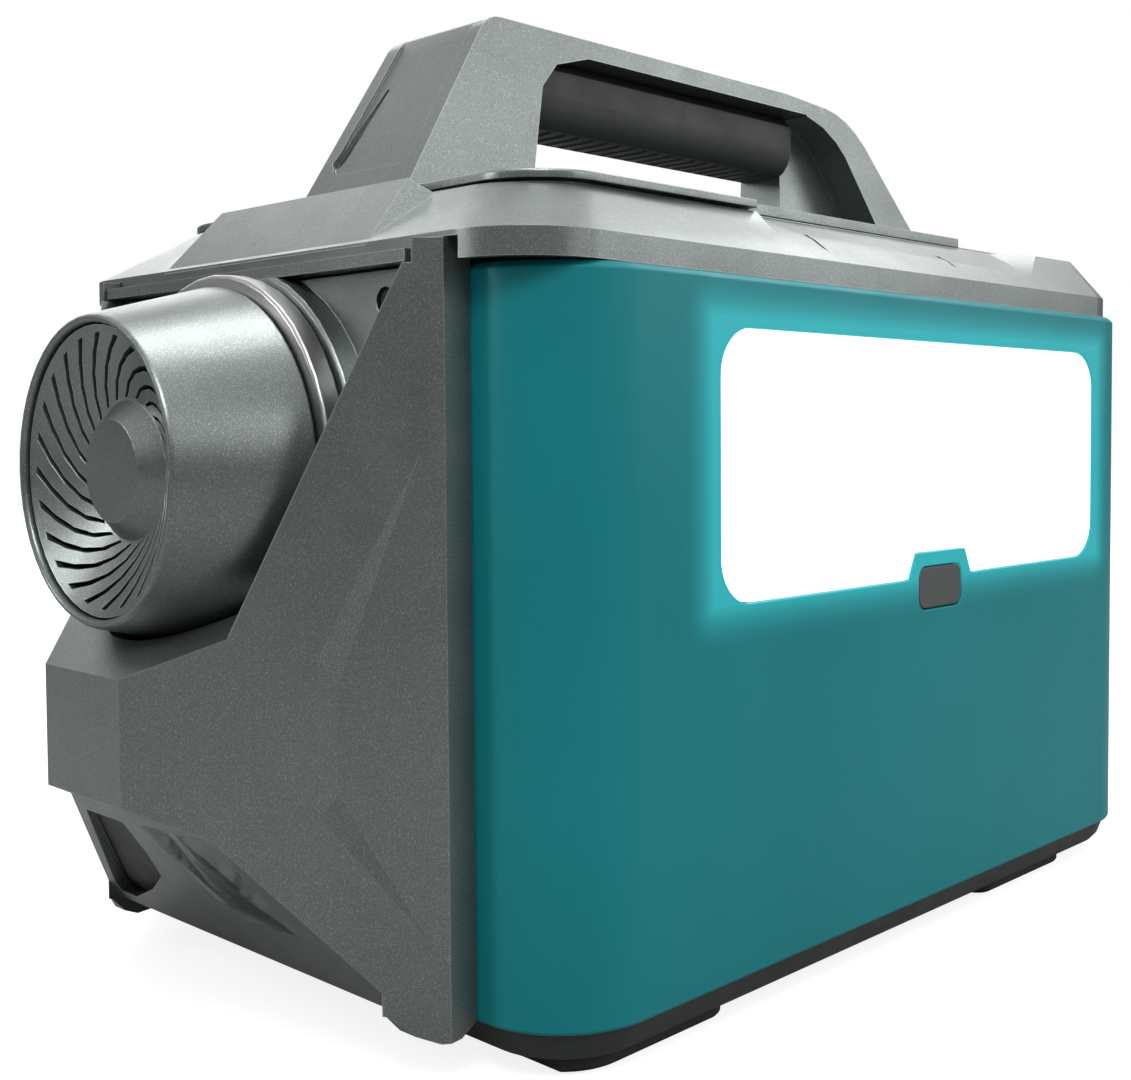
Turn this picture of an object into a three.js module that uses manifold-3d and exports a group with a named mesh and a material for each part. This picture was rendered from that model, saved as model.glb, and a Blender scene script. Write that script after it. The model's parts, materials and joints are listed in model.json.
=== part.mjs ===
// Portable power station: a rounded battery case with a carrying handle, a light panel on its
// front, a fan horn on its left end and a socket panel on its back.
// Millimetres, +Z up, +X towards the right end, the light panel faces -Y.
import * as THREE from 'three';
import { ConvexGeometry } from 'three/addons/geometries/ConvexGeometry.js';
import { mergeVertices } from 'three/addons/utils/BufferGeometryUtils.js';
import Module from 'manifold-3d';

const wasm = await Module();
wasm.setup();

// ---- driving dimensions -------------------------------------------------------------------
const GAP = 0.3;
const WALL = 3;

const LENGTH = 362;
const DEPTH = 262;
const CORNER = 33;
const HALF_L = LENGTH / 2;
const HALF_D = DEPTH / 2;

const TRAY_BOTTOM = 5;
const COVER_BOTTOM = 15.5;
const COVER_TOP = 236.5;
const SKIRT_TOP = 245;
const DECK_EDGE = 263;
const DECK_TOP = 267;
const WRAP = 91;

const HANDLE_TOP = 334;
const HANDLE_BOTTOM = DECK_TOP + GAP;
const HANDLE_HALF = 30;
const HANDLE_TAPER = 0.14;
const HAND_RIGHT = 75;
const GRIP_BOTTOM = 301;
const ARCH_UNDER = 327;

const NOSE_X = -253;
const NOSE_HALF = 22.5;
const CHEEK_X = -194;
const PANEL_X = -190;
const FAN_Z = 177;
const RIGHT_X = HALF_L + 2;

const LAMP = { x: 12.3, z: 177, width: 248.7, height: 86, radius: 15 };
const LAMP_BUTTON = { x: 15, z: 130.5, width: 29, height: 15, radius: 4 };

const CONTROLS = { x: 0, z: 140, width: 250, height: 150, radius: 12 };
const CONTROLS_Y = 124;

// ---- colours ------------------------------------------------------------------------------
const FINISH = {
  teal: [0x1f7f86, 0.32, 0],
  silver: [0x7f8785, 0.42, 0.35],
  charcoal: [0x2a2c2b, 0.6, 0],
  rubber: [0x1a1b1b, 0.85, 0],
  button: [0x505855, 0.5, 0],
  diffuser: [0xfafcff, 0.35, 0],
  board: [0x1d5a38, 0.55, 0],
  aluminium: [0xb5b9bc, 0.35, 0.9],
  steel: [0x8d9194, 0.35, 0.9],
  glass: [0x0b0f12, 0.08, 0],
  cells: [0x2f6fa8, 0.5, 0],
};

// ---- solids -------------------------------------------------------------------------------
function solid(geometry) {
  const bare = geometry.clone();
  bare.deleteAttribute('normal');
  bare.deleteAttribute('uv');
  const merged = mergeVertices(bare, 1e-4);
  const triVerts = new Uint32Array(merged.index.array);
  const vertProperties = new Float32Array(merged.attributes.position.array);
  const made = new wasm.Manifold(new wasm.Mesh({ numProp: 3, vertProperties, triVerts }));
  if (made.volume() > 0) return made;
  for (let i = 0; i < triVerts.length; i += 3) {
    [triVerts[i], triVerts[i + 1]] = [triVerts[i + 1], triVerts[i]];
  }
  return new wasm.Manifold(new wasm.Mesh({ numProp: 3, vertProperties, triVerts }));
}

function join(first, ...others) {
  return others.reduce((sum, next) => sum.add(next), first);
}

function cut(first, ...others) {
  return others.reduce((left, next) => left.subtract(next), first);
}

function box(x0, x1, y0, y1, z0, z1) {
  const geometry = new THREE.BoxGeometry(x1 - x0, y1 - y0, z1 - z0);
  geometry.translate((x0 + x1) / 2, (y0 + y1) / 2, (z0 + z1) / 2);
  return solid(geometry);
}

function outline(points) {
  return new THREE.Shape(points.map(([u, v]) => new THREE.Vector2(u, v)));
}

function roundedRect(width, height, radius, u = 0, v = 0) {
  const shape = new THREE.Shape();
  const a = width / 2 - radius;
  const b = height / 2 - radius;
  shape.absarc(u + a, v - b, radius, -Math.PI / 2, 0);
  shape.absarc(u + a, v + b, radius, 0, Math.PI / 2);
  shape.absarc(u - a, v + b, radius, Math.PI / 2, Math.PI);
  shape.absarc(u - a, v - b, radius, Math.PI, 1.5 * Math.PI);
  shape.closePath();
  return shape;
}

// Extrusions of an outline along one axis. The outline's (u, v) are (x, y), (x, z) or (y, z).
function prismZ(shape, z0, z1, curveSegments = 6) {
  const geometry = new THREE.ExtrudeGeometry(shape, { depth: z1 - z0, bevelEnabled: false, curveSegments });
  geometry.translate(0, 0, z0);
  return solid(geometry);
}

function prismY(shape, y0, y1, curveSegments = 6) {
  const geometry = new THREE.ExtrudeGeometry(shape, { depth: y1 - y0, bevelEnabled: false, curveSegments });
  geometry.rotateX(Math.PI / 2);
  geometry.translate(0, y1, 0);
  return solid(geometry);
}

function prismX(shape, x0, x1, curveSegments = 3) {
  const geometry = new THREE.ExtrudeGeometry(shape, { depth: x1 - x0, bevelEnabled: false, curveSegments });
  const [ex, ey, ez] = [new THREE.Vector3(1, 0, 0), new THREE.Vector3(0, 1, 0), new THREE.Vector3(0, 0, 1)];
  geometry.applyMatrix4(new THREE.Matrix4().makeBasis(ey, ez, ex));
  geometry.translate(x0, 0, 0);
  return solid(geometry);
}

// A rounded block whose outline steps in with height: levels are [z, inset] from bottom to top.
function roundedBlock(length, depth, radius, levels, curveSegments = 6) {
  const steps = levels.length - 1;
  const shape = roundedRect(length, depth, radius);
  const settings = { depth: steps, steps, bevelEnabled: false, curveSegments };
  const geometry = new THREE.ExtrudeGeometry(shape, settings);
  const place = geometry.attributes.position;
  for (let i = 0; i < place.count; i += 1) {
    const [z, inset] = levels[Math.round(place.getZ(i))];
    const x = place.getX(i);
    const y = place.getY(i);
    const cx = THREE.MathUtils.clamp(x, radius - length / 2, length / 2 - radius);
    const cy = THREE.MathUtils.clamp(y, radius - depth / 2, depth / 2 - radius);
    const reach = Math.hypot(x - cx, y - cy);
    place.setXYZ(i, x - inset * (x - cx) / reach, y - inset * (y - cy) / reach, z);
  }
  return solid(geometry);
}

// A loft between rounded rectangles whose corners differ at the left and right ends. A level is
// [z, left, right, left half-depth, right half-depth, left radius, right radius].
function loft(levels, curveSegments = 6) {
  const steps = levels.length - 1;
  const shape = roundedRect(4, 4, 1);
  const settings = { depth: steps, steps, bevelEnabled: false, curveSegments };
  const geometry = new THREE.ExtrudeGeometry(shape, settings);
  const place = geometry.attributes.position;
  for (let i = 0; i < place.count; i += 1) {
    const [z, left, right, halfLeft, halfRight, radiusLeft, radiusRight] = levels[Math.round(place.getZ(i))];
    const sx = Math.sign(place.getX(i));
    const sy = Math.sign(place.getY(i));
    const [end, half, radius] = sx < 0 ? [left, halfLeft, radiusLeft] : [right, halfRight, radiusRight];
    const x = end - sx * radius + radius * (place.getX(i) - sx);
    const y = sy * (half - radius) + radius * (place.getY(i) - sy);
    place.setXYZ(i, x, y, z);
  }
  return solid(geometry);
}

// The convex solid round a set of [x, y, z] corners.
function convex(corners) {
  return solid(new ConvexGeometry(corners.map((corner) => new THREE.Vector3(...corner))));
}

// The space above a sloping plane, over an outline in plan; rise gives the plane's height.
function spaceAbove(plan, rise) {
  return prismZ(plan, 0, 120).warp((p) => {
    p[2] += rise(p[0], p[1]);
  });
}

// A turned piece on the fan's axis: profile points are [x, radius], closed on itself.
function turned(profile, segments = 40) {
  const points = [...profile, profile[0]].map(([x, r]) => new THREE.Vector2(Math.max(r, 0), x));
  const geometry = new THREE.LatheGeometry(points, segments);
  geometry.rotateZ(-Math.PI / 2);
  geometry.translate(0, 0, FAN_Z);
  return solid(geometry);
}

function discX(x0, x1, radius, y = 0, z = FAN_Z, segments = 40) {
  const geometry = new THREE.CylinderGeometry(radius, radius, x1 - x0, segments);
  geometry.rotateZ(-Math.PI / 2);
  geometry.translate((x0 + x1) / 2, y, z);
  return solid(geometry);
}

function discY(y0, y1, radius, x, z, segments = 20) {
  const geometry = new THREE.CylinderGeometry(radius, radius, y1 - y0, segments);
  geometry.translate(x, (y0 + y1) / 2, z);
  return solid(geometry);
}

function discZ(z0, z1, radius, x, y, segments = 12) {
  const geometry = new THREE.CylinderGeometry(radius, radius, z1 - z0, segments);
  geometry.rotateX(Math.PI / 2);
  geometry.translate(x, y, (z0 + z1) / 2);
  return solid(geometry);
}

// ---- the finished group -------------------------------------------------------------------
const group = new THREE.Group();
const body = new THREE.Group();
body.position.x = -(NOSE_X + RIGHT_X) / 2;
group.add(body);

function add(name, made, finish) {
  const mesh = made.getMesh();
  const geometry = new THREE.BufferGeometry();
  geometry.setAttribute('position', new THREE.BufferAttribute(new Float32Array(mesh.vertProperties), 3));
  geometry.setIndex(new THREE.BufferAttribute(new Uint32Array(mesh.triVerts), 1));
  geometry.computeVertexNormals();
  const [color, roughness, metalness] = FINISH[finish];
  const node = new THREE.Mesh(geometry, new THREE.MeshStandardMaterial({ color, roughness, metalness }));
  node.name = name;
  body.add(node);
}

// ---- case ---------------------------------------------------------------------------------
function baseTray() {
  const roundedEdge = [[TRAY_BOTTOM, 10], [6.2, 7], [9, 4.5], [13, 3], [COVER_BOTTOM - GAP, 2.5]];
  const shell = roundedBlock(LENGTH, DEPTH, CORNER, roundedEdge);
  const lip = roundedBlock(LENGTH, DEPTH, CORNER, [[12, 4.5], [COVER_BOTTOM + 8, 4.5]]);
  const hollow = roundedBlock(LENGTH, DEPTH, CORNER, [[TRAY_BOTTOM + WALL, 16], [30, 7]]);
  add('base_tray', cut(join(shell, lip), hollow), 'charcoal');
}

function feet() {
  const length = 70;
  const depth = 34;
  const under = roundedBlock(LENGTH, DEPTH, CORNER, [[0, 12.5], [1.5, 11], [TRAY_BOTTOM - GAP, 11]]);
  for (const [i, x] of [-130, 100].entries()) {
    for (const [j, y] of [-103, 103].entries()) {
      const pad = roundedBlock(length, depth, 8, [[0, 1.5], [1.5, 0], [TRAY_BOTTOM - GAP, 0]], 4);
      add(`foot_${1 + 2 * i + j}`, pad.translate(x, y, 0).intersect(under), 'rubber');
    }
  }
}

// A cover wraps the front (side -1) or back (side 1) half of the case, round both corners.
function wrap(side) {
  const edge = [[COVER_BOTTOM, 1], [COVER_BOTTOM + 1, 0], [COVER_TOP - 2, 0], [COVER_TOP, 2]];
  const outer = roundedBlock(LENGTH, DEPTH, CORNER, edge, 8);
  const inner = roundedBlock(LENGTH, DEPTH, CORNER, [[0, WALL], [COVER_TOP + 9, WALL]], 8);
  const half = side < 0 ? box(-200, 200, -150, -WRAP, 0, 300) : box(-200, 200, WRAP, 150, 0, 300);
  return cut(outer, inner).intersect(half);
}

// The light panel's outline, less the tab that holds its button.
function lampWindow(grow, y0, y1) {
  const { x, z, width, height, radius } = LAMP;
  const opening = prismY(roundedRect(width + 2 * grow, height + 2 * grow, radius + grow, x, z), y0, y1);
  const bottom = z - height / 2;
  const [wide, narrow, rise] = [24 - grow, 17 - grow, 9.5 - grow];
  const tab = outline([
    [LAMP_BUTTON.x - wide, bottom - 5],
    [LAMP_BUTTON.x + wide, bottom - 5],
    [LAMP_BUTTON.x + narrow, bottom + rise],
    [LAMP_BUTTON.x - narrow, bottom + rise],
  ]);
  return cut(opening, prismY(tab, y0 - 1, y1 + 1));
}

function buttonBlock(grow, y0, y1) {
  const { x, z, width, height, radius } = LAMP_BUTTON;
  return prismY(roundedRect(width + 2 * grow, height + 2 * grow, radius + grow, x, z), y0, y1, 4);
}

function frontCover() {
  const opening = lampWindow(0, -HALF_D - 1, -HALF_D + WALL + 1);
  add('front_cover', cut(wrap(-1), opening, buttonBlock(0.5, -HALF_D - 1, -HALF_D + WALL + 1)), 'teal');
}

function rearCover() {
  const { x, z, width, height, radius } = CONTROLS;
  const opening = prismY(roundedRect(width, height, radius, x, z), HALF_D - WALL - 1, HALF_D + 1);
  add('rear_cover', cut(wrap(1), opening), 'teal');
}

// ---- light panel --------------------------------------------------------------------------
function lightPanel() {
  const face = -HALF_D + 0.4;
  const inside = -HALF_D + WALL + GAP;
  const plate = lampWindow(-0.4, face, inside + 1);
  const { x, z, width, height } = LAMP;
  const [reach, low, high] = [width / 2 + 4, z - height / 2 + 12, z + height / 2 + 3];
  const flange = box(x - reach, x + reach, inside, inside + 2, low, high);
  add('lamp_diffuser', join(plate, flange), 'diffuser');
  const board = box(x - 122, x + 122, inside + 5, inside + 6.6, z - 30, z + 42);
  add('led_board', board, 'board');
  const back = join(
    box(x - 126, x + 126, inside + 7.2, inside + 9, z - 32, z + 44),
    box(x - 126, x + 126, inside + 2.4, inside + 9, z + 43, z + 45),
  );
  add('led_reflector', back, 'aluminium');
}

function lampButton() {
  const face = -HALF_D + 0.2;
  const inside = -HALF_D + WALL + GAP + 1.7;
  const { x, z } = LAMP_BUTTON;
  const cap = join(
    buttonBlock(0, face, inside),
    box(x - 18, x + 18, inside, inside + 1.5, z - 8, z + 8),
    discY(inside + 1, inside + 4, 2.5, x, z, 12),
  );
  add('lamp_button', cap, 'button');
  const seat = inside + 6.5;
  add('lamp_switch', join(box(x - 4, x + 4, seat, seat + 4, z - 4, z + 4),
    box(x - 20, x + 20, seat + 3, seat + 4.6, z - 9, z + 9)), 'charcoal');
}

// ---- top cover ----------------------------------------------------------------------------
const HANDLE_SCREWS = [-140, 140];
const SKIRT = [-190, 177, 127, 127, 29, 29];
const DECK = [-163, 168, 101, 107, 27, 6];
const PLATE_EDGE = [-161, 165, 102.5, 105, 25, 5];

// The same outline, moved in by a distance all round.
function inset([left, right, halfLeft, halfRight, radiusLeft, radiusRight], by) {
  const radii = [radiusLeft - by, Math.max(radiusRight - by, 2)];
  return [left + by, right - by, halfLeft - by, halfRight - by, ...radii];
}

const scallopFloor = (x, y) => SKIRT_TOP - 0.9 + 0.519 * (y + HALF_D + 2);
const scallopFacet = (x, y) => DECK_EDGE - 1 + 0.203 * (x - 105) + 0.48 * (y + 97);

// The shallow scallop in the long walls ends on the right in a second, rising facet.
function scallop(side) {
  const front = -HALF_D - 2;
  const plan = outline([[-66, front], [170, front], [170, -97], [-57, -97]]);
  const made = spaceAbove(plan, scallopFloor).intersect(spaceAbove(plan, scallopFacet));
  return side < 0 ? made : made.mirror([0, 1, 0]);
}

// The left wall stands proud in the middle and rises to meet the handle's foot.
function fairing(grow) {
  const corners = [-1, 1].flatMap((side) => [
    [-149 + grow, side * (28 + grow), DECK_TOP + grow * 10],
    [-169.7 - grow, side * (53 + grow), DECK_TOP + grow * 10],
    [-190.3, side * 58, SKIRT_TOP - 1],
    [-164, side * (60 + grow), DECK_EDGE - 1.2],
    [-149 + grow, side * (34 + grow), DECK_EDGE - 1.2],
    [-172, side * 60, SKIRT_TOP - 1],
  ]);
  return convex(corners);
}

function topCover() {
  const outer = loft([[COVER_TOP + GAP, ...SKIRT], [SKIRT_TOP, ...SKIRT], [DECK_EDGE, ...DECK]], 8);
  const underside = loft([[COVER_TOP - 1, ...inset(SKIRT, 3)], [SKIRT_TOP - 3, ...inset(SKIRT, 5.5)],
    [DECK_EDGE - 4, ...inset(DECK, 5.5)]]);
  const scallops = [scallop(-1), scallop(1)];
  const hollow = cut(underside, ...scallops.map((one) => one.translate(0, 0, -WALL)));
  const ledge = box(LEDGE_X, CHEEK_X + 20, 4 - PANEL.half, PANEL.half, COVER_TOP + GAP, SKIRT_TOP - 4.5);
  const ear = box(-200, GAP - HALF_L, -SIDE - 5, -PANEL.half + GAP, 230, EAR_TOP + GAP);
  const ears = [ear, ear.mirror([0, 1, 0])];
  const shell = cut(join(outer, ledge, fairing(0)), hollow, ...scallops, ...ears);
  add('top_cover', cut(shell, ...tickMarks(), ...deckHoles()), 'silver');
}

// Two small marks sunk into the front scallop, each a short stroke with a head at its upper end.
function tickMarks() {
  const depth = 1.2;
  return [[-41.4, -109.5, 12, -1.2], [43, -111, 7.6, 2.2]].map(([x, y, length, drift]) => {
    const mark = outline([[x - 2.2, y], [x + 1.8, y], [x + 1, y - 2.4], [x + 0.8 + drift, y - length],
      [x - 0.8 + drift, y - length], [x - 0.8, y - 2.4]]);
    return spaceAbove(mark, (u, v) => scallopFloor(u, v) - depth);
  });
}

function deckHoles() {
  return HANDLE_SCREWS.map((x) => discZ(240, 280, 3, x, 0));
}

// The deck's plate overhangs its neck in a thin lip and steps in at the two right corners.
function topPlate() {
  const plate = loft([[DECK_EDGE + 1.2, ...PLATE_EDGE], [DECK_TOP - 0.6, ...PLATE_EDGE],
    [DECK_TOP, ...inset(PLATE_EDGE, 0.7)]]);
  const neck = loft([[DECK_EDGE + GAP, ...inset(PLATE_EDGE, 5)], [DECK_EDGE + 2, ...inset(PLATE_EDGE, 5)]]);
  const corner = box(84, 180, 82, 120, DECK_EDGE, DECK_TOP + 1);
  const corners = [corner, corner.mirror([0, 1, 0])];
  const scallops = [scallop(-1), scallop(1)];
  add('top_plate', cut(join(plate, neck), fairing(GAP), ...scallops, ...corners, ...deckHoles()), 'silver');
}

// ---- handle -------------------------------------------------------------------------------
function leanIn(made) {
  return made.warp((p) => {
    p[1] *= 1 - HANDLE_TAPER * (p[2] - HANDLE_BOTTOM) / (HANDLE_TOP - HANDLE_BOTTOM);
  });
}

function handle() {
  const profile = new THREE.Shape();
  profile.moveTo(-153, HANDLE_BOTTOM);
  profile.lineTo(161, HANDLE_BOTTOM);
  profile.lineTo(161, 278);
  profile.lineTo(126, 312);
  profile.quadraticCurveTo(110, 330, 90, HANDLE_TOP - 2);
  profile.lineTo(60, HANDLE_TOP);
  profile.lineTo(-106, HANDLE_TOP);
  profile.quadraticCurveTo(-113, HANDLE_TOP, -117, 326);
  profile.closePath();
  const half = HANDLE_HALF;
  const arch = prismY(profile, -half, half, 5);
  const opening = prismY(outline(handOpening(0)), -half - 1, half + 1, 4);
  const pocket = outline([[HAND_RIGHT - 8, ARCH_UNDER], [76, ARCH_UNDER - 0.8], [87, 323], [96, 318],
    [103, 312], [128, 280], [134, 266], [70, 266]]);
  const pockets = [prismY(pocket, -half - 1, -12), prismY(pocket, 12, half + 1)];
  const bores = HANDLE_SCREWS.map((x) => discZ(260, DECK_TOP + 9, 2, x, 0));
  add('handle', leanIn(cut(arch, opening, ...pockets, endRecess(), endSlot(), ...bores)), 'silver');
}

// The hand opening seen from the front; shrink moves its roof and ends in.
function handOpening(shrink) {
  const left = [[-96, 262], [-92.5, 284], [-90, 297], [-86.7, 313], [-79, 322], [-62, ARCH_UNDER]];
  const right = [[HAND_RIGHT, ARCH_UNDER], [HAND_RIGHT, 262]];
  return [
    ...left.map(([x, z]) => [x + shrink, z - shrink]),
    ...right.map(([x, z]) => [x - shrink, z - shrink]),
  ];
}

// A cut to an even depth in the handle's sloping left end, from an outline of [y, z] points.
function endFaceCut(points, depth) {
  const band = outline([[-153 + depth, HANDLE_BOTTOM], [-117 + depth, 326], [-113 + depth, 333], [-180, 333],
    [-180, HANDLE_BOTTOM]]);
  return prismX(outline(points), -170, -100).intersect(prismY(band, -HANDLE_HALF, HANDLE_HALF));
}

// The end face is sunk between a raised bead down each edge.
function endRecess() {
  return endFaceCut([[-22.5, 332], [-23, 284], [-21, 280.5], [-17, 279], [17, 279], [21, 280.5], [23, 284],
    [22.5, 332]], 1.1);
}

// A narrow triangular slot beside the far bead.
function endSlot() {
  return endFaceCut([[14.6, 312], [18, 285], [19.5, 282.5], [22, 282], [24.5, 284], [16.4, 312]], 3);
}

function grip() {
  const section = new THREE.Shape();
  const [half, top, flat, round] = [17.5, ARCH_UNDER - GAP, 8.5, 12];
  section.moveTo(-half + 4, top);
  section.lineTo(-half, top - 4);
  section.lineTo(-half, GRIP_BOTTOM + round);
  section.quadraticCurveTo(-half + 1, GRIP_BOTTOM + 1, -flat, GRIP_BOTTOM);
  section.lineTo(flat, GRIP_BOTTOM);
  section.quadraticCurveTo(half - 1, GRIP_BOTTOM + 1, half, GRIP_BOTTOM + round);
  section.lineTo(half, top - 4);
  section.lineTo(half - 4, top);
  section.closePath();
  const [left, right] = [-90, HAND_RIGHT - GAP];
  const bar = prismX(section, left, right, 5).intersect(prismY(outline(handOpening(GAP)), -30, 30));
  const count = 21;
  const pitch = (right - left - 4) / count;
  const flutes = [];
  for (let i = 0; i < count; i += 1) {
    const x = left + 3 + pitch * (i + 0.5);
    flutes.push(discY(-30, 30, 2.4, x, GRIP_BOTTOM - 1.2, 10));
  }
  add('handle_grip', cut(bar, ...flutes), 'charcoal');
}

// ---- left end: cheeks, nose and fan horn --------------------------------------------------
// The end cap's plan is an arrow head: two cheeks run from the case to a blunt nose.
const SIDE = WRAP + 4;
const LEDGE_X = -196;
const EAR_TOP = 243;
const FLANK_FOOT = 15;

function capVolume(inset, back) {
  const [nose, cheek, half, side] = [NOSE_X + inset, CHEEK_X + inset, NOSE_HALF - inset / 2, SIDE - inset];
  const plan = outline([[back, -side], [cheek + 3, -side], [cheek, 3 - side], [nose, -half],
    [nose, half], [cheek, side - 3], [cheek + 3, side], [back, side]]);
  return cut(prismZ(plan, 8 + inset, EAR_TOP - inset), belly(inset),
    footRound().translate(inset, 0, inset));
}

// The side flanges end in a rounded foot just above the base.
function footRound() {
  const space = outline([[-260, 0], [-260, 34], [-203, 20], [-198, 14.5], [-193, 12.3], [-187, 12.8],
    [-180, 17.3], [-140, 17.3], [-140, 0]]);
  return prismY(space, -SIDE - 1, SIDE + 1);
}

// The space below the cap: the nose overhangs and the cheeks slope back to a low edge.
function belly(inset) {
  const under = outline([[-300, 0], [-300, 80 + inset], [NOSE_X, 80 + inset], [-236, 71 + inset],
    [-199 + inset, 20 + inset], [-100, 20 + inset], [-100, 0]]);
  const reach = SIDE - FLANK_FOOT + inset;
  return prismY(under, -reach, reach);
}

// The space above the nose, open between the cheeks; its floor rises towards the case.
function throat(drop) {
  const [a, b] = [87 + drop, 47 + drop];
  const vee = outline([[-a, 260], [-a, 238], [-b, 130], [-b, 80], [b, 80], [b, 130], [a, 238], [a, 260]]);
  const floor = outline([[-270, 108 - drop], [-150, 176 - drop], [-150, 260], [-270, 260]]);
  return prismX(vee, -270, -150).intersect(prismY(floor, -120, 120));
}

const PANEL = { half: 88, bottom: 92, top: 236, thick: 3 };

function panelSpace(grow, back) {
  const { half, bottom, top } = PANEL;
  return box(PANEL_X - grow, back, -half - grow, half + grow, bottom - grow, top + grow);
}

function endCap() {
  const outer = cut(capVolume(0, -HALF_L - GAP), throat(0));
  const inner = cut(capVolume(WALL, -150), throat(WALL));
  const cradle = turned([[-258, 0], [-258, 48.5], [-249, 48.5], [-208, 60.5], [-200, 64.2], [-150, 64.2],
    [-150, 0]]);
  const ledge = box(-200, -150, -PANEL.half - GAP, PANEL.half + GAP, PANEL.top, 260);
  const made = cut(outer, inner, cradle, panelSpace(GAP, -150), ledge, ...cheekFacets(), ...bellyGrooves(),
    bellyOpening());
  add('end_cap', made, 'silver');
}

// Each cheek is a plane in plan: a point on it is given by its distance along it and its height.
const CHEEK_TURN = Math.atan2(SIDE - 3 - NOSE_HALF, NOSE_X - CHEEK_X);

// A shallow slanting recess in each cheek: deepest along its upright left edge.
function cheekFacets() {
  const rim = [[3, 182], [33, 124], [33, 78], [3, 44]];
  const sunk = [[28, -2, 115], [28, -2, 84]];
  const made = convex([...rim.map(([along, z]) => [along, 0, z]), ...rim.map(([along, z]) => [along, 20, z]),
    ...sunk]);
  const turn = THREE.MathUtils.radToDeg(CHEEK_TURN);
  const near = made.rotate([0, 0, turn]).translate(CHEEK_X, 3 - SIDE, 0);
  return [near, near.mirror([0, 1, 0])];
}

// Height of the slanting underside of the nose at a distance along X.
const bellyHeight = (x) => 71 - (x + 236) * 51 / 37;

// Three grooves run down the underside of the nose.
function bellyGrooves() {
  const [half, depth] = [2, 3];
  return [
    [[-233, 2.6], [-215, -13]],
    [[-233.4, -16.5], [-211.5, -22.5]],
    [[-235, -39], [-213, -51]],
  ].map(([[x0, y0], [x1, y1]]) => {
    const strip = outline([[x0, y0 - half], [x1, y1 - half], [x1, y1 + half], [x0, y0 + half]]);
    return prismZ(strip, -depth, depth).warp((p) => {
      p[2] += bellyHeight(p[0]);
    });
  });
}

// A large opening in the far half of the slanting underside, closed behind by a dark liner.
function bellyOpening() {
  const edge = outline([[17, 65], [18, 53], [22, 43], [41, 33], [64, 24], [74, 24], [74, 28], [41, 65]]);
  return prismX(edge, -245, -190);
}

function bellyLiner() {
  const clear = WALL + GAP;
  const layer = capVolume(clear, -185).intersect(belly(clear + 2));
  add('nose_liner', layer.intersect(box(-240, -190, 8, 80, 10, 76)), 'charcoal');
}

const SCREWS = [[-67, 227], [67, 227], [-78, 104], [78, 104]];

function endPanel() {
  const { half, bottom, top, thick } = PANEL;
  const plate = box(PANEL_X, PANEL_X + thick, -half, half, bottom, top);
  const [front, back] = [PANEL_X - 8.6, PANEL_X + 1];
  const ring = turned([[front, 47], [front, 62.6], [front + 1, 63.5], [back, 63.5], [back, 47]]);
  const boss = ring.intersect(box(PANEL_X - 20, PANEL_X + 20, -half, half, bottom, COVER_TOP));
  const mouth = discX(PANEL_X - 20, PANEL_X + 20, 47);
  const screws = SCREWS.map(([y, z]) => discX(PANEL_X - 5, PANEL_X + 5, 4.2, y, z, 12));
  add('end_panel', cut(join(plate, boss), mouth, ...screws), 'silver');
}

function endPanelScrews() {
  SCREWS.forEach(([y, z], i) => {
    const head = discX(PANEL_X + 1, PANEL_X + 3, 3.6, y, z, 12);
    const shank = discX(PANEL_X + 2.5, PANEL_X + 9, 1.4, y, z, 8);
    add(`end_screw_${i + 1}`, join(head, shank), 'steel');
  });
}

const HORN = { front: -249, back: -207, rim: 47, root: 57.5, wall: 2.6 };

function horn() {
  const { front, back, rim, root, wall } = HORN;
  add('fan_horn', turned([[front + 1.4, rim - wall], [front + 0.4, rim - 2], [front, rim - 1.2],
    [front + 0.4, rim - 0.4], [front + 1.6, rim + 0.2], [back - 1.2, root], [back, root - 1],
    [back, root - wall],
    [front + 3, rim - wall + 0.2]], 48), 'silver');
}

function collar() {
  const [front, back] = [HORN.back + GAP, PANEL_X - 8.6 - GAP];
  add('horn_collar', turned([[front, 54], [front, 60.6], [front + 0.8, 61.4], [back - 1, 61.4], [back, 60.6],
    [back, 54]]), 'aluminium');
}

// The dished grille: swirling slots round a raised hub.
function grille() {
  const dish = turned([[-242, 0], [-242, 15.6], [-241, 16.6], [-236, 21.5], [-246.6, 44], [-244.4, 44],
    [-234, 22], [-239.6, 14], [-239.6, 0]], 48);
  const count = 24;
  const slot = swirlSlot();
  const slots = [];
  for (let i = 0; i < count; i += 1) {
    slots.push(slot.rotate([i * 360 / count, 0, 0]).translate(0, 0, FAN_Z));
  }
  add('horn_grille', cut(dish, ...slots), 'silver');
}

// One slot, curved like a fan blade round the X axis and widening outwards.
function swirlSlot() {
  const [near, far, sweep, steps] = [22.4, 41.6, 0.8, 4];
  const side = (sign) => Array.from({ length: steps + 1 }, (_, k) => {
    const t = k / steps;
    const r = near + (far - near) * t;
    const angle = -sweep * (1 - t) ** 1.1 + sign * (0.7 + 0.7 * t) / r;
    return [r * Math.cos(angle), r * Math.sin(angle)];
  });
  return prismX(outline([...side(-1), ...side(1).reverse()]), -260, -225);
}

const FAN_PLANE = -222;

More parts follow.
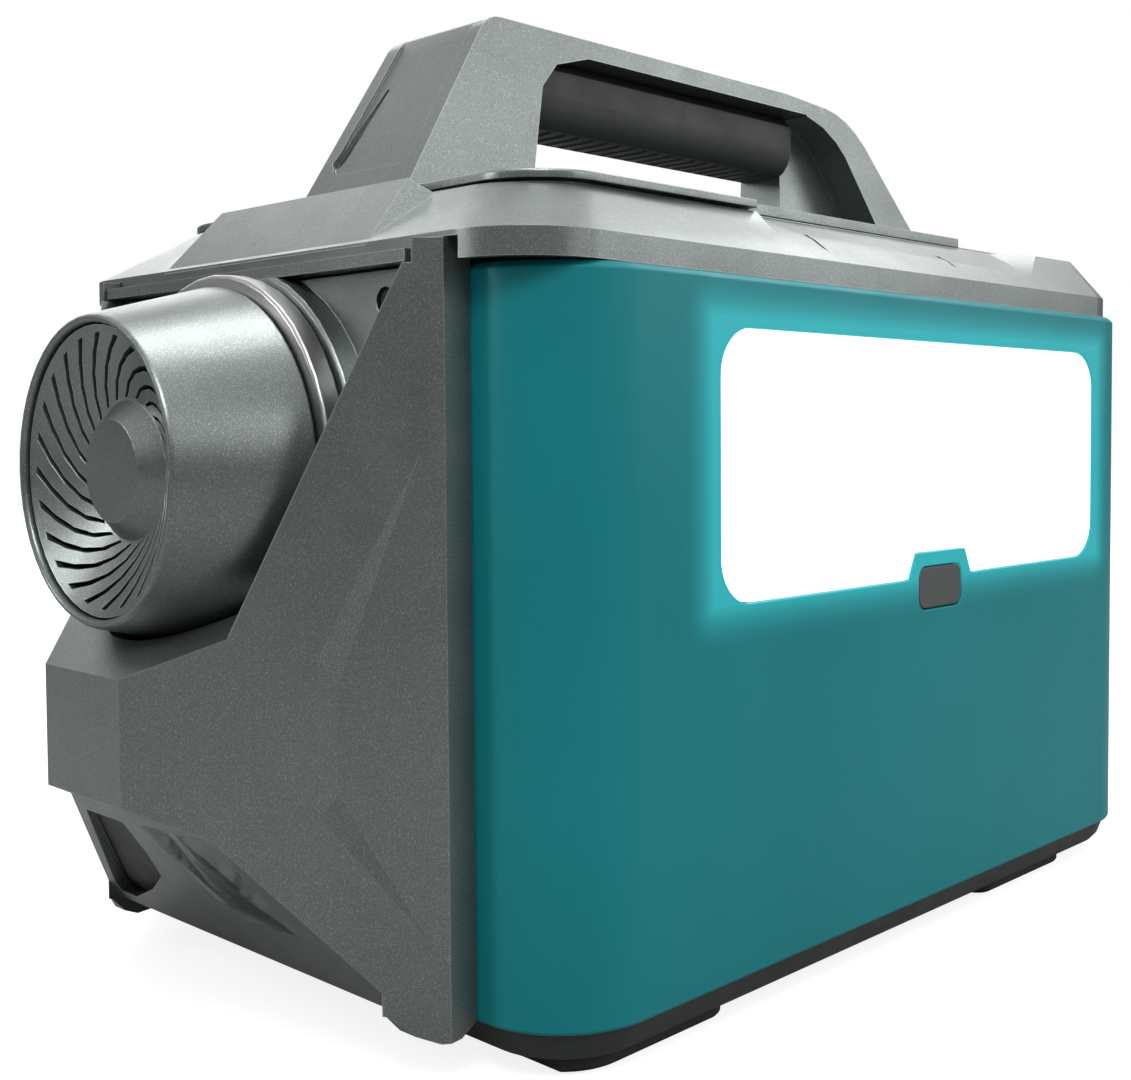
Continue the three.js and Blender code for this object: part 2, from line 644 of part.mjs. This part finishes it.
function fanRotor() {
  const hub = turned([[FAN_PLANE - 8, 0], [FAN_PLANE - 8, 13], [FAN_PLANE - 6, 15], [FAN_PLANE + 7, 15],
    [FAN_PLANE + 7, 12.5], [FAN_PLANE - 4, 12.5], [FAN_PLANE - 4, 0]], 24);
  const blades = [];
  const count = 9;
  for (let i = 0; i < count; i += 1) {
    const blade = new THREE.BoxGeometry(1.4, 26, 15, 1, 2, 1);
    const place = blade.attributes.position;
    for (let k = 0; k < place.count; k += 1) {
      const along = place.getY(k) / 26 + 0.5;
      const pitch = THREE.MathUtils.degToRad(42 + 16 * along);
      const [x, z] = [place.getX(k), place.getZ(k)];
      place.setXYZ(k, x * Math.cos(pitch) - z * Math.sin(pitch), place.getY(k) + 26.5,
        x * Math.sin(pitch) + z * Math.cos(pitch));
    }
    const turn = i * 360 / count;
    blades.push(solid(blade).translate(FAN_PLANE, 0, 0).rotate([turn, 0, 0]).translate(0, 0, FAN_Z));
  }
  const spindle = discX(FAN_PLANE - 5, FAN_PLANE + 14, 2, 0, FAN_Z, 12);
  add('fan_rotor', join(hub, spindle, ...blades), 'charcoal');
}

function fanFrame() {
  const [front, middle, back] = [FAN_PLANE - 8, FAN_PLANE + 12, FAN_PLANE + 30];
  const ring = turned([[front, 42.5], [front, 44.5], [middle, 46.5], [back, 46.5], [back, 44],
    [middle, 42.5]]);
  const cup = discX(FAN_PLANE + 8.5, FAN_PLANE + 16, 14, 0, FAN_Z, 24);
  const arms = [0, 90, 180, 270].map((turn) => (
    box(FAN_PLANE + 11, FAN_PLANE + 15, 10, 45, -1.5, 1.5).rotate([turn, 0, 0]).translate(0, 0, FAN_Z)));
  const bearing = discX(FAN_PLANE, FAN_PLANE + 20, 2.1, 0, FAN_Z, 16);
  add('fan_frame', cut(join(ring, cup, ...arms), bearing), 'charcoal');
}

// ---- right end ----------------------------------------------------------------------------
const RIGHT = { half: WRAP - GAP, face: HALF_L + 1.5, back: HALF_L - 4, floor: HALF_L - 0.8 };
const INLET = { z: 64, width: 44, height: 38 };

function rightCap() {
  const { half, face, back, floor } = RIGHT;
  const plate = box(back, face, -half, half, COVER_BOTTOM + GAP, COVER_TOP - GAP);
  const slats = [];
  for (let i = 0; i < 9; i += 1) {
    slats.push(prismX(roundedRect(120, 4.6, 2.2, 0, 118 + i * 11), back - 1, face + 1, 2));
  }
  const { z, width, height } = INLET;
  const recess = prismX(roundedRect(width + 10, height + 10, 5, 0, z), floor, face + 1);
  const hole = prismX(roundedRect(width - 6, height - 8, 3, 0, z), back - 1, face + 1);
  add('right_cap', cut(plate, ...slats, recess, hole), 'silver');
}

function inlet() {
  const { z, width, height } = INLET;
  const [front, back] = [RIGHT.back - 24, RIGHT.floor - GAP];
  const shroud = prismX(roundedRect(width - 7, height - 9, 3, 0, z), front, back);
  const well = prismX(roundedRect(width - 13, height - 15, 2, 0, z), front + 4, back + 1);
  const pins = [[-8, 3], [8, 3], [0, -3]].map(([y, up]) => (
    box(front + 3, back - 9, y - 1.2, y + 1.2, z + up - 2.4, z + up + 2.4)));
  add('charge_inlet', join(cut(shroud, well), ...pins), 'charcoal');
}

// The flap hangs from its top outer edge, flush in the recess round the inlet.
function inletFlap() {
  const { z, width, height } = INLET;
  const lid = prismX(roundedRect(width + 9, height + 9, 4.5, 0, z), RIGHT.floor + GAP, RIGHT.face);
  const pull = box(RIGHT.face - 0.5, RIGHT_X, -8, 8, z - 20, z - 17);
  add('inlet_flap', join(lid, pull), 'rubber');
}

// ---- back: socket panel -------------------------------------------------------------------
const PLATE = { back: CONTROLS_Y, face: CONTROLS_Y + 3.4 };
const AC = [[-82, 172], [-82, 118]];
const USB_A = [[8, 116], [30, 116], [52, 116]];
const USB_C = [[8, 96], [30, 96]];
const DC = [[58, 96], [74, 96]];
const CAR = [98, 106];
const KEYS = {
  power_button: [98, 190, 8],
  ac_button: [-82, 84, 6],
  usb_button: [30, 138, 6],
  dc_button: [98, 138, 6],
};
const SCREEN = { x: 30, z: 182, width: 74, height: 44 };

function throughPlate(shape, curveSegments = 3) {
  return prismY(shape, PLATE.back - 5, PLATE.face + 5, curveSegments);
}

function controlPanel() {
  const { x, z, width, height, radius } = CONTROLS;
  const plate = prismY(roundedRect(width + 8, height + 8, radius, x, z), PLATE.back, PLATE.face, 4);
  const glass = roundedRect(SCREEN.width + 0.6, SCREEN.height + 0.6, 4, SCREEN.x, SCREEN.z);
  const holes = [
    ...AC.map(([u, v]) => throughPlate(roundedRect(38.6, 38.6, 6.3, u, v))),
    ...USB_A.map(([u, v]) => throughPlate(roundedRect(14.2, 7.2, 0.4, u, v), 1)),
    ...USB_C.map(([u, v]) => throughPlate(roundedRect(9.8, 4, 1.9, u, v))),
    ...DC.map(([u, v]) => discY(PLATE.back - 5, PLATE.face + 5, 4.6, u, v, 16)),
    discY(PLATE.back - 5, PLATE.face + 5, 13.4, ...CAR),
    ...Object.values(KEYS).map(([u, v, r]) => discY(PLATE.back - 5, PLATE.face + 5, r + 0.5, u, v)),
    throughPlate(roundedRect(SCREEN.width - 6, SCREEN.height - 6, 3, SCREEN.x, SCREEN.z)),
    prismY(glass, PLATE.face - 1.8, PLATE.face + 5, 3),
  ];
  add('control_panel', cut(plate, ...holes), 'charcoal');
}

function screen() {
  const { x, z, width, height } = SCREEN;
  const window = prismY(roundedRect(width, height, 3.7, x, z), PLATE.face - 1.5, PLATE.face - 0.4, 3);
  add('display_window', window, 'glass');
  add('display_module', box(x - 36, x + 36, PLATE.back - 5, PLATE.back - GAP, z - 20, z + 20), 'board');
}

function acOutlets() {
  const [back, face] = [PLATE.back - 22, PLATE.face - 0.8];
  AC.forEach(([x, z], i) => {
    const block = prismY(roundedRect(38, 38, 6, x, z), back, face, 4);
    const slots = [
      box(x - 7.4, x - 5.2, back + 6, face + 1, z, z + 8.4),
      box(x + 5.2, x + 7.4, back + 6, face + 1, z, z + 8.4),
      discY(back + 6, face + 1, 2.6, x, z - 8, 12),
    ];
    add(`ac_outlet_${i + 1}`, cut(block, ...slots), 'button');
  });
}

function usbPorts() {
  const [back, face] = [PLATE.back - 14, PLATE.face - 1];
  USB_A.forEach(([x, z], i) => {
    const shell = cut(box(x - 6.8, x + 6.8, back, face, z - 3.3, z + 3.3),
      box(x - 6.3, x + 6.3, back + 2, face + 1, z - 2.8, z + 2.8));
    const tongue = box(x - 5.8, x + 5.8, back + 1, face - 2, z + 0.2, z + 2);
    add(`usb_a_port_${i + 1}`, join(shell, tongue), 'steel');
  });
  USB_C.forEach(([x, z], i) => {
    const shell = cut(prismY(roundedRect(9.2, 3.4, 1.6, x, z), back + 6, face, 3),
      prismY(roundedRect(8.4, 2.6, 1.2, x, z), back + 7, face + 1, 3));
    const tongue = box(x - 3.4, x + 3.4, back + 6.5, face - 1, z - 0.35, z + 0.35);
    add(`usb_c_port_${i + 1}`, join(shell, tongue), 'steel');
  });
}

function dcPorts() {
  DC.forEach(([x, z], i) => {
    const barrel = cut(discY(PLATE.back - 12, PLATE.face - 1, 4.3, x, z, 16),
      discY(PLATE.back - 10, PLATE.face + 1, 3, x, z, 12));
    add(`dc_port_${i + 1}`, join(barrel, discY(PLATE.back - 11, PLATE.back, 1, x, z, 8)), 'charcoal');
  });
  const [x, z] = CAR;
  const socket = cut(discY(PLATE.back - 40, PLATE.face - 1.4, 13, x, z),
    discY(PLATE.back - 37, PLATE.face + 1, 10.5, x, z));
  add('car_socket', socket, 'charcoal');
}

const CAP_HINGE = { y: CONTROLS_Y + 4.9, rise: 19 };

function carSocketCap() {
  const [x, z] = CAR;
  const [back, face] = [PLATE.face + GAP, HALF_D - 1];
  const barrel = discX(x - 4, x + 4, 1.1, CAP_HINGE.y, z + CAP_HINGE.rise, 12);
  const cap = join(
    discY(back, face, 15, x, z, 24),
    box(x - 4, x + 4, back, face, z + 12, z + CAP_HINGE.rise),
    box(x - 4, x + 4, back, face - 1, z - 18, z - 12),
    discY(PLATE.back + 1, back + 0.5, 9.8, x, z),
    barrel,
  );
  add('car_socket_cap', cap, 'rubber');
}

function keys() {
  for (const [name, [x, z, r]] of Object.entries(KEYS)) {
    const made = join(
      discY(PLATE.back - 2, PLATE.face + 1.2, r, x, z),
      discY(PLATE.back - 2.3, PLATE.back - GAP, r + 1.2, x, z),
      discY(PLATE.back - 5, PLATE.back - 2, 1.6, x, z, 8),
    );
    add(name, made, 'button');
  }
}

function controlBoard() {
  add('control_board', box(-112, 80, PLATE.back - 27, PLATE.back - 25, 72, 206), 'board');
}

// ---- inside -------------------------------------------------------------------------------
const PACK = { x0: -150, x1: 140, y0: -88, y1: 78, z0: 12, z1: 92 };

function batteryPack() {
  const { x0, x1, y0, y1, z0, z1 } = PACK;
  const count = 13;
  const grooves = [];
  for (let i = 1; i < count; i += 1) {
    const x = x0 + (x1 - x0) * i / count;
    grooves.push(box(x - 0.8, x + 0.8, y0 - 1, y1 + 1, z1 - 2, z1 + 1));
  }
  add('battery_pack', cut(box(x0, x1, y0, y1, z0, z1), ...grooves), 'cells');
  add('battery_cradle', cut(box(x0 - 4, x1 + 4, y0 - 4, y1 + 4, TRAY_BOTTOM + WALL + GAP, 34),
    box(x0 - GAP, x1 + GAP, y0 - GAP, y1 + GAP, z0 - GAP, 50)), 'charcoal');
  add('battery_board', box(-120, 110, -70, -10, z1 + 4, z1 + 5.6), 'board');
}

function inverter() {
  const floor = PACK.z1 + 18;
  add('inverter_board', box(-130, 130, -88, 70, floor - 2, floor - 0.4), 'board');
  const fins = [];
  for (let i = 0; i < 8; i += 1) {
    fins.push(box(-90, 60, -70 + i * 9, -67 + i * 9, floor + 6, floor + 32));
  }
  add('heat_sink', join(box(-90, 60, -70, -4, floor, floor + 8), ...fins), 'aluminium');
  add('transformer', box(-20, 26, 12, 54, floor, floor + 40), 'cells');
  const half = 52;
  add('air_duct', cut(box(-186, -100, -half, half, FAN_Z - half, FAN_Z + half),
    box(-190, -96, WALL - half, half - WALL, FAN_Z + WALL - half, FAN_Z - WALL + half)), 'charcoal');
}

function handleScrews() {
  HANDLE_SCREWS.forEach((x, i) => {
    const head = discZ(DECK_EDGE - 8, DECK_EDGE - 5, 2.6, x, 0);
    add(`handle_screw_${i + 1}`, join(head, discZ(DECK_EDGE - 6, DECK_TOP + 8, 1.6, x, 0, 8)), 'steel');
  });
}

baseTray();
feet();
frontCover();
rearCover();
lightPanel();
lampButton();
topCover();
topPlate();
handle();
grip();
endCap();
bellyLiner();
endPanel();
endPanelScrews();
horn();
collar();
grille();
fanRotor();
fanFrame();
rightCap();
inlet();
inletFlap();
controlPanel();
screen();
acOutlets();
usbPorts();
dcPorts();
carSocketCap();
keys();
controlBoard();
batteryPack();
inverter();
handleScrews();

export default group;
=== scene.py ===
# Portable power station: looks, light and camera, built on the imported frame. Metres, +Z up.
import json
import math

import bpy
from mathutils import Matrix, Vector


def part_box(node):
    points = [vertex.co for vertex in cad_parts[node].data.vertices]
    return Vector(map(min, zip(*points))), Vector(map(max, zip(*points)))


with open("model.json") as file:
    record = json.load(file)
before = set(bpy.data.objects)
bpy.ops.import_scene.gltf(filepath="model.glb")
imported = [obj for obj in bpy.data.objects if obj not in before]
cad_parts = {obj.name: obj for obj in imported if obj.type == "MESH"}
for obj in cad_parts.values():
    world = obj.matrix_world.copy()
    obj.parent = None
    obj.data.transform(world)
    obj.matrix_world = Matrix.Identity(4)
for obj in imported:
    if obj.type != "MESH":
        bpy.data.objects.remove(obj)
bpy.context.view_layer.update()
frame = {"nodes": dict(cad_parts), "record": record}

MM = 0.001


# ---- materials ----------------------------------------------------------------------------
class Nodes:
    """A material's node tree, with short calls for the nodes used here."""

    def __init__(self, name):
        self.material = bpy.data.materials.new(name)
        self.material.use_nodes = True
        self.tree = self.material.node_tree
        self.shader = self.tree.nodes["Principled BSDF"]
        self.place = self.tree.nodes.new("ShaderNodeTexCoord").outputs["Object"]

    def node(self, kind, settings=(), **inputs):
        made = self.tree.nodes.new(kind)
        for key, value in dict(settings).items():
            setattr(made, key, value)
        for key, value in inputs.items():
            self.feed(made.inputs[key.replace("_", " ")], value)
        return made

    def feed(self, socket, value):
        if isinstance(value, bpy.types.NodeSocket):
            self.tree.links.new(value, socket)
        else:
            socket.default_value = value

    def noise(self, scale, detail=3.0, roughness=0.55, place=None):
        made = self.node("ShaderNodeTexNoise", Vector=place or self.place, Scale=scale, Detail=detail,
                         Roughness=roughness)
        return made.outputs["Fac"]

    def ramp(self, factor, low, high, start=0.3, end=0.7):
        """Goes from low to high as the factor goes from start to end."""
        made = self.node("ShaderNodeMapRange", Value=factor)
        for socket, value in zip(list(made.inputs)[1:5], (start, end, low, high)):
            socket.default_value = value
        return made.outputs["Result"]

    def mix(self, factor, a, b):
        made = self.tree.nodes.new("ShaderNodeMix")
        made.data_type = "RGBA"
        self.feed(made.inputs["Factor"], factor)
        self.feed(made.inputs[6], a)
        self.feed(made.inputs[7], b)
        return made.outputs[2]

    def math(self, operation, a, b=0.0):
        made = self.tree.nodes.new("ShaderNodeMath")
        made.operation = operation
        self.feed(made.inputs[0], a)
        self.feed(made.inputs[1], b)
        return made.outputs[0]

    def bump(self, height, distance, strength):
        made = self.node("ShaderNodeBump", Height=height, Distance=distance, Strength=strength)
        return made.outputs["Normal"]

    def edges(self, radius):
        """1 on sharp edges, 0 on flat faces."""
        bevel = self.node("ShaderNodeBevel", {"samples": 4}, Radius=radius).outputs["Normal"]
        true = self.node("ShaderNodeNewGeometry").outputs["Normal"]
        dot = self.node("ShaderNodeVectorMath", {"operation": "DOT_PRODUCT"})
        self.feed(dot.inputs[0], bevel)
        self.feed(dot.inputs[1], true)
        return self.ramp(dot.outputs["Value"], 1.0, 0.0, 0.8, 0.97)

    def finish(self, color, roughness, **sockets):
        self.feed(self.shader.inputs["Base Color"], color)
        self.feed(self.shader.inputs["Roughness"], roughness)
        for key, value in sockets.items():
            self.feed(self.shader.inputs[key.replace("_", " ")], value)
        return self.material


def grey(value):
    return (value, value, value, 1.0)


def tinted(red, green, blue):
    return (red, green, blue, 1.0)


LAMP_LOW, LAMP_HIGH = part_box("lamp_diffuser")
SPILL_REACH = 14.0 * MM
# The spill falls on the front cover only: it ends between these places along Y.
SPILL_BACK = (-90.0 * MM, -80.0 * MM)


def lamp_spill(m):
    """How much of the lamp's light falls on the paint round it, by distance from its edge."""
    axes = m.node("ShaderNodeSeparateXYZ", Vector=m.place).outputs
    squares = []
    for axis, low, high in (("X", LAMP_LOW.x, LAMP_HIGH.x), ("Z", LAMP_LOW.z, LAMP_HIGH.z)):
        offset = m.math("ABSOLUTE", m.math("SUBTRACT", axes[axis], (low + high) / 2))
        outside = m.math("MAXIMUM", m.math("SUBTRACT", offset, (high - low) / 2), 0.0)
        squares.append(m.math("MULTIPLY", outside, outside))
    distance = m.math("SQRT", m.math("ADD", *squares))
    near = m.ramp(distance, 1.0, 0.0, 0.0, SPILL_REACH)
    front = m.ramp(axes["Y"], 1.0, 0.0, *SPILL_BACK)
    return m.math("MULTIPLY", m.math("MULTIPLY", near, near), front)


def teal_paint():
    """Satin paint: an even sea green with a fine orange peel and paler edges, rubbed and with a
    painted highlight.
    """
    m = Nodes("teal_paint")
    cloud = m.noise(9.0, 2.0)
    color = m.mix(m.ramp(cloud, 0.0, 1.0), tinted(0.003, 0.16, 0.178), tinted(0.004, 0.18, 0.2))
    # Paler edges: rubbed wear, with a painted highlight along them.
    color = m.mix(m.math("MULTIPLY", m.edges(0.7 * MM), 0.75), color, tinted(0.02, 0.6, 0.68))
    normal = m.bump(m.noise(900.0, 2.0), 0.02 * MM, 0.25)
    glow = m.math("MULTIPLY", lamp_spill(m), 0.4)
    return m.finish(color, m.ramp(m.noise(40.0), 0.38, 0.44), Normal=normal, Specular_IOR_Level=0.2,
                    Emission_Color=tinted(0.05, 0.62, 0.68), Emission_Strength=glow)


def silver_paint():
    """Grey paint with metal flakes: the flakes sparkle where the light catches them."""
    m = Nodes("silver_paint")
    cloud = m.noise(14.0, 3.0)
    color = m.mix(m.ramp(cloud, 0.0, 1.0), tinted(0.15, 0.17, 0.165), tinted(0.175, 0.197, 0.192))
    color = m.mix(m.ramp(m.noise(2600.0, 1.0), 0.0, 0.35, 0.52, 0.75), color, tinted(0.6, 0.63, 0.62))
    # Paler edges: rubbed wear, with a painted highlight along them.
    color = m.mix(m.math("MULTIPLY", m.edges(0.7 * MM), 0.5), color, tinted(0.6, 0.64, 0.63))
    normal = m.bump(m.noise(2200.0, 2.0), 0.05 * MM, 0.4)
    return m.finish(color, m.ramp(m.noise(60.0), 0.3, 0.38), Metallic=0.85, Normal=normal)


def dark_plastic(name, low, high, roughness, grain):
    """Grained plastic or rubber, paler along its edges: rubbed wear with a painted edge highlight."""
    m = Nodes(name)
    rubbed_and_highlit = tinted(*[3 * value for value in high])
    cloud = m.noise(24.0, 4.0)
    color = m.mix(m.ramp(cloud, 0.0, 1.0), tinted(*low), tinted(*high))
    # Paler edges: rubbed wear, with a painted highlight along them.
    color = m.mix(m.math("MULTIPLY", m.edges(0.5 * MM), 0.3), color, rubbed_and_highlit)
    normal = m.bump(m.noise(grain, 3.0, 0.7), 0.06 * MM, 0.7)
    return m.finish(color, m.ramp(m.noise(90.0), roughness - 0.06, roughness + 0.06), Normal=normal)


def lamp_glow():
    """The lit light panel: frosted, and even in brightness."""
    m = Nodes("lamp_glow")
    cloud = m.noise(30.0, 2.0)
    color = m.mix(m.ramp(cloud, 0.0, 1.0), tinted(0.93, 0.97, 1.0), tinted(1.0, 1.0, 1.0))
    normal = m.bump(m.noise(1500.0, 2.0), 0.03 * MM, 0.4)
    return m.finish(color, m.ramp(m.noise(200.0), 0.35, 0.45), Normal=normal, Emission_Color=color,
                    Emission_Strength=1.3)


def brushed_metal(name, tone, roughness):
    """Bare or plated metal with fine streaks along X."""
    m = Nodes(name)
    streak = m.node("ShaderNodeMapping", Vector=m.place, Scale=(60.0, 900.0, 900.0)).outputs["Vector"]
    lines = m.noise(6.0, 4.0, 0.6, streak)
    color = m.mix(m.ramp(lines, 0.0, 1.0), grey(tone * 0.8), grey(tone))
    normal = m.bump(lines, 0.02 * MM, 0.5)
    return m.finish(color, m.ramp(lines, roughness, roughness + 0.12), Metallic=1.0, Normal=normal)


def board_green():
    """A circuit board's green lacquer over a pattern of tracks."""
    m = Nodes("board_green")
    cells = m.node("ShaderNodeTexVoronoi", {"distance": "CHEBYCHEV"}, Vector=m.place, Scale=160.0)
    color = m.mix(m.ramp(cells.outputs["Distance"], 0.0, 1.0, 0.2, 0.5), tinted(0.01, 0.08, 0.035),
                  tinted(0.02, 0.13, 0.06))
    normal = m.bump(cells.outputs["Distance"], 0.1 * MM, 0.5)
    return m.finish(color, m.ramp(m.noise(80.0), 0.35, 0.5), Normal=normal)


def cell_wrap():
    """Blue shrink wrap, for the battery pack and the transformer."""
    m = Nodes("cell_wrap")
    color = m.mix(m.ramp(m.noise(35.0), 0.0, 1.0), tinted(0.02, 0.12, 0.35), tinted(0.03, 0.17, 0.45))
    normal = m.bump(m.noise(400.0, 3.0), 0.1 * MM, 0.4)
    return m.finish(color, m.ramp(m.noise(70.0), 0.3, 0.45), Normal=normal)


def dark_glass():
    """The display's dark window, switched off."""
    m = Nodes("dark_glass")
    cloud = m.noise(12.0)
    color = m.mix(m.ramp(cloud, 0.0, 1.0), tinted(0.004, 0.006, 0.008), tinted(0.008, 0.011, 0.014))
    normal = m.bump(m.noise(300.0), 0.005 * MM, 0.3)
    return m.finish(color, m.ramp(m.noise(50.0), 0.05, 0.1), Normal=normal, Coat_Weight=0.5,
                    Coat_Roughness=0.03)


CHARCOAL = ((0.014, 0.016, 0.0155), (0.021, 0.0235, 0.023))
RUBBER = ((0.01, 0.011, 0.011), (0.017, 0.018, 0.018))
BUTTON = ((0.038, 0.048, 0.045), (0.05, 0.062, 0.058))
FINISHES = {
    "teal": teal_paint(),
    "silver": silver_paint(),
    "charcoal": dark_plastic("charcoal_plastic", *CHARCOAL, roughness=0.55, grain=1400.0),
    "rubber": dark_plastic("black_rubber", *RUBBER, roughness=0.8, grain=1100.0),
    "button": dark_plastic("button_plastic", *BUTTON, roughness=0.5, grain=1800.0),
    "diffuser": lamp_glow(),
    "board": board_green(),
    "aluminium": brushed_metal("turned_aluminium", tone=0.42, roughness=0.28),
    "steel": brushed_metal("plated_steel", tone=0.5, roughness=0.3),
    "glass": dark_glass(),
    "cells": cell_wrap(),
}
# The screws at the left end are drawn near black: painted shade for the dark holes they sit in.
SCREW_HOLE_SHADE = brushed_metal("screw_hole_shade_steel", tone=0.03, roughness=0.35)
SLOT_OF = {part["node"]: part["material_slot"] for part in frame["record"]["subparts"]}


# ---- carried-over nodes: finish and softened edges ----------------------------------------
# Width of the rounded edges in mm, by material slot.
EDGE_OF = {
    "silver": 0.8,
    "teal": 0.5,
    "charcoal": 0.5,
    "rubber": 0.6,
    "button": 0.5,
    "diffuser": 0.3,
    "board": 0.15,
    "aluminium": 0.4,
    "steel": 0.2,
    "glass": 0.2,
    "cells": 1.0,
}
# The smallest angle, in degrees, that counts as an edge and not as part of a curve.
CREASE = 32.0
CREASE_OF = {"end_cap": 25.0, "top_cover": 13.0, "fan_horn": 20.0}
# Shaded flat: nearly all of it is flat faces, and the shallow creases between them stay crisp.
FLAT_SIDED = {"end_cap"}
SAME_POINT = 0.002 * MM
SAME_PLANE = math.radians(0.6)
EDGE_STEPS = 2


def soften(piece, width, crease):
    """Joins the facets into whole faces, rounds the sharp edges and evens out the shading."""
    mesh = piece.data
    for name in ("custom_normal", "sharp_edge", "sharp_face"):
        if name in mesh.attributes:
            mesh.attributes.remove(mesh.attributes[name])
    piece.modifiers.new("weld", "WELD").merge_threshold = SAME_POINT
    flat = piece.modifiers.new("flat", "DECIMATE")
    flat.decimate_type = "DISSOLVE"
    flat.angle_limit = SAME_PLANE
    bevel = piece.modifiers.new("edge", "BEVEL")
    bevel.width = width
    bevel.segments = EDGE_STEPS
    bevel.limit_method = "ANGLE"
    bevel.angle_limit = math.radians(crease)
    bevel.miter_outer = "MITER_ARC"
    if piece.name in FLAT_SIDED:
        mesh.shade_flat()
    else:
        piece.modifiers.new("shade", "WEIGHTED_NORMAL").keep_sharp = True


def dress(node):
    piece = frame["nodes"][node]
    slot = SLOT_OF[node]
    piece.data.materials.clear()
    piece.data.materials.append(SCREW_HOLE_SHADE if node.startswith("end_screw") else FINISHES[slot])
    soften(piece, EDGE_OF[slot] * MM, CREASE_OF.get(node, CREASE))


for node_name in frame["nodes"]:
    dress(node_name)


# ---- camera, floor and light --------------------------------------------------------------
CAMERA_PLACE = (-0.4263, -0.4181, 0.1885)
CAMERA_TURN = math.radians(-46.93)
CAMERA_DIP = math.radians(2.5)
CAMERA_ROLL = math.radians(-0.309)
SENSOR_WIDTH = 36.0
LENS = 47.1
SHIFT = (-0.055, -0.040)


def photo_camera():
    """Stands off the front left corner at mid-height, with a nearly normal lens."""
    camera = bpy.data.cameras.new("camera")
    camera.sensor_width = SENSOR_WIDTH
    camera.lens = LENS
    camera.shift_x, camera.shift_y = SHIFT
    rig = bpy.data.objects.new("camera", camera)
    bpy.context.scene.collection.objects.link(rig)
    turn = Matrix.Rotation(CAMERA_TURN, 4, "Z")
    tilt = Matrix.Rotation(math.pi / 2 - CAMERA_DIP, 4, "X")
    roll = Matrix.Rotation(CAMERA_ROLL, 4, "Z")
    rig.matrix_world = Matrix.Translation(CAMERA_PLACE) @ turn @ tilt @ roll
    bpy.context.scene.camera = rig


FLOOR_SIZE = 12.0
FLOOR_DROP = 0.5 * MM
FLOOR_GLOW = 0.84


def floor():
    """A wide sheet under the feet. It looks white to the camera but reflects as mid grey."""
    bpy.ops.mesh.primitive_plane_add(size=FLOOR_SIZE, location=(0.0, 0.0, -FLOOR_DROP))
    sheet = bpy.context.object
    sheet.name = "floor"
    m = Nodes("floor_white")
    color = m.mix(m.ramp(m.noise(3.0), 0.0, 1.0), grey(0.3), grey(0.33))
    seen = m.node("ShaderNodeLightPath").outputs["Is Camera Ray"]
    glow = m.math("MULTIPLY", seen, FLOOR_GLOW)
    sheet.data.materials.append(m.finish(color, 0.9, Emission_Color=grey(1.0), Emission_Strength=glow))


def area_light(name, place, target, size, power):
    light = bpy.data.lights.new(name, "AREA")
    light.shape = "RECTANGLE"
    light.size, light.size_y = size
    light.energy = power
    lamp = bpy.data.objects.new(name, light)
    bpy.context.scene.collection.objects.link(lamp)
    lamp.location = place
    lamp.rotation_euler = (Vector(target) - Vector(place)).to_track_quat("-Z", "Y").to_euler()


MIDDLE = (0.0, 0.0, 0.15)
DECK = (0.0, 0.0, 0.25)
HORN = (-0.2, 0.0, 0.17)
CORNER = (-0.1, -0.05, 0.25)
# Soft boxes: name, place, what it points at, width and height in metres, watts.
SOFT_BOXES = [
    ("key", (0.5, -1.7, 1.0), DECK, (1.0, 0.7), 9.0),
    ("right_soft", (1.6, -1.3, 0.75), DECK, (0.8, 0.8), 6.0),
    ("wall_soft", (1.5, 0.2, 1.55), DECK, (0.8, 0.8), 7.5),
    ("corner_soft", (-0.75, -0.75, 1.25), CORNER, (0.45, 0.45), 10.0),
    ("left_strip", (-1.5, 0.9, 0.9), HORN, (0.25, 1.0), 9.0),
    ("top_soft", (0.1, 0.1, 1.7), MIDDLE, (0.8, 0.6), 11.0),
    ("back_soft", (0.7, 1.6, 1.1), MIDDLE, (1.2, 1.0), 8.0),
]
# The surround's brightness at the horizon and overhead, and the height where it stops rising.
HORIZON_LIGHT = 0.12
OVERHEAD_LIGHT = 0.9
OVERHEAD_FROM = 0.9


def surround():
    """White where the camera sees it; as a light it is dim at the horizon and bright overhead."""
    world = bpy.data.worlds.new("studio")
    bpy.context.scene.world = world
    world.use_nodes = True
    tree = world.node_tree
    sky = tree.nodes["Background"]
    height = tree.nodes.new("ShaderNodeSeparateXYZ")
    tree.links.new(tree.nodes.new("ShaderNodeTexCoord").outputs["Generated"], height.inputs[0])
    fade = tree.nodes.new("ShaderNodeMapRange")
    tree.links.new(height.outputs["Z"], fade.inputs["Value"])
    fade.inputs["From Max"].default_value = OVERHEAD_FROM
    fade.inputs["To Min"].default_value = HORIZON_LIGHT
    fade.inputs["To Max"].default_value = OVERHEAD_LIGHT
    seen = tree.nodes.new("ShaderNodeLightPath").outputs["Is Camera Ray"]
    strength = tree.nodes.new("ShaderNodeMix")
    tree.links.new(seen, strength.inputs["Factor"])
    tree.links.new(fade.outputs["Result"], strength.inputs["A"])
    strength.inputs["B"].default_value = 1.0
    sky.inputs["Color"].default_value = grey(1.0)
    tree.links.new(strength.outputs["Result"], sky.inputs["Strength"])


photo_camera()
floor()
surround()
for soft_box in SOFT_BOXES:
    area_light(*soft_box)
bpy.context.scene.view_settings.view_transform = "Standard"
